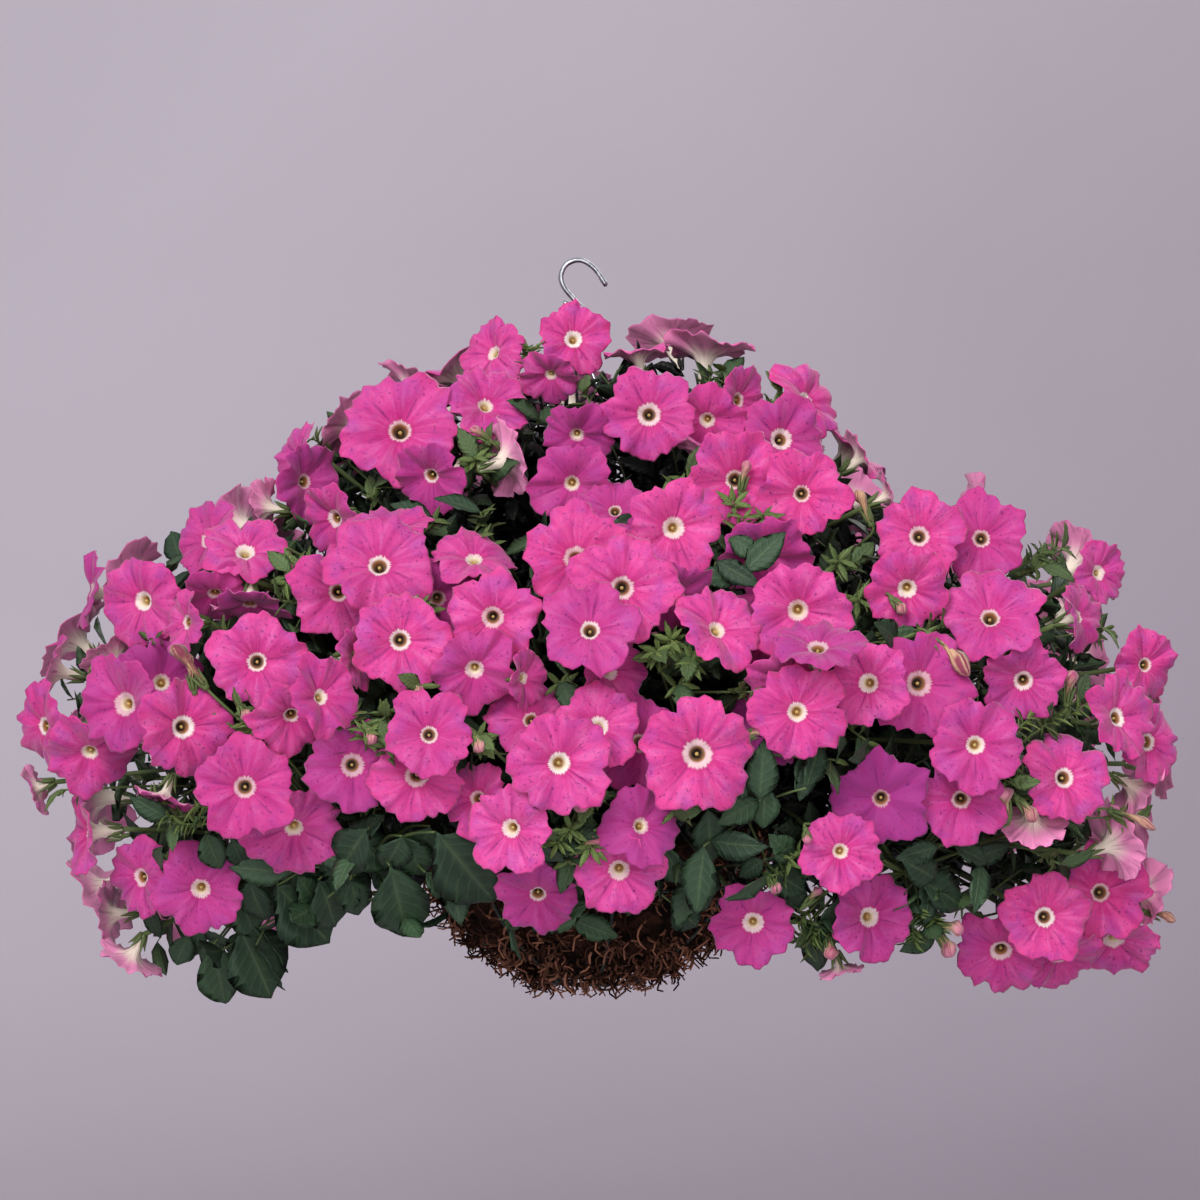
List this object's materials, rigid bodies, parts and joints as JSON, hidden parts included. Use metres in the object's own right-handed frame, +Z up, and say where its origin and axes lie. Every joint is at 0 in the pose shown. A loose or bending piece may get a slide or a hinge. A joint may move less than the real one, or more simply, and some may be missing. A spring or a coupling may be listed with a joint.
{
  "type": "flowering hanging basket",
  "caption": "Round-bottomed wire basket with a moss liner, hung by an S-hook and overflowing with pink trumpet-shaped blooms on leafy trailing stems.",
  "frame": {"origin": "the crown of the S-hook, on the inside of its upper loop, where the part hangs", "axes": "+Z up, front faces -Y, +X to the right as the front is seen, the longest way across the crown"},
  "size_m": [0.8388, 0.7157, 0.5433],
  "materials": {
    "galvanised_wire": "galvanised",
    "basket_wire": "dark green coating",
    "moss": "brown matted fibre",
    "soil": "dark crumbly compost",
    "leaf": "soft hairy green",
    "petal": "matte pink"
  },
  "bodies": {
    "root": {"s_hook": "galvanised_wire", "hanger_wire_1": "galvanised_wire", "hanger_wire_2": "galvanised_wire", "hanger_wire_3": "galvanised_wire", "wire_basket": "basket_wire", "moss_liner": "moss", "soil": "soil", "leafy_stem_hook": "leaf", "blooms_hook": "petal", "leafy_stem_upper_left": "leaf", "blooms_upper_left": "petal", "leafy_stem_left_shoulder": "leaf", "blooms_left_shoulder": "petal", "leafy_stem_left": "leaf", "blooms_left": "petal", "leafy_stem_lower_left": "leaf", "blooms_lower_left": "petal", "leafy_stem_left_skirt": "leaf", "blooms_left_skirt": "petal", "leafy_stem_middle_left": "leaf", "blooms_middle_left": "petal", "leafy_stem_middle": "leaf", "blooms_middle": "petal", "leafy_stem_middle_low": "leaf", "blooms_middle_low": "petal", "leafy_stem_right_of_middle_low": "leaf", "blooms_right_of_middle_low": "petal", "leafy_stem_upper_right": "leaf", "blooms_upper_right": "petal", "leafy_stem_right_shoulder": "leaf", "blooms_right_shoulder": "petal", "leafy_stem_middle_right": "leaf", "blooms_middle_right": "petal", "leafy_stem_right": "leaf", "blooms_right": "petal", "leafy_stem_far_right": "leaf", "blooms_far_right": "petal", "leafy_stem_right_of_middle": "leaf", "blooms_right_of_middle": "petal", "leafy_stem_right_skirt": "leaf", "blooms_right_skirt": "petal", "leafy_stem_lower_right": "leaf", "blooms_lower_right": "petal", "leafy_stem_back_top": "leaf", "blooms_back_top": "petal", "leafy_stem_back_upper_left": "leaf", "blooms_back_upper_left": "petal", "leafy_stem_back_upper_right": "leaf", "blooms_back_upper_right": "petal", "leafy_stem_back_middle": "leaf", "blooms_back_middle": "petal", "leafy_stem_back_left": "leaf", "blooms_back_left": "petal", "leafy_stem_back_right": "leaf", "blooms_back_right": "petal", "leafy_stem_back_low": "leaf", "blooms_back_low": "petal", "leafy_stem_trailing_left": "leaf", "leafy_stem_trailing_front": "leaf", "leafy_stem_trailing_right": "leaf"}
  },
  "joints": []
}
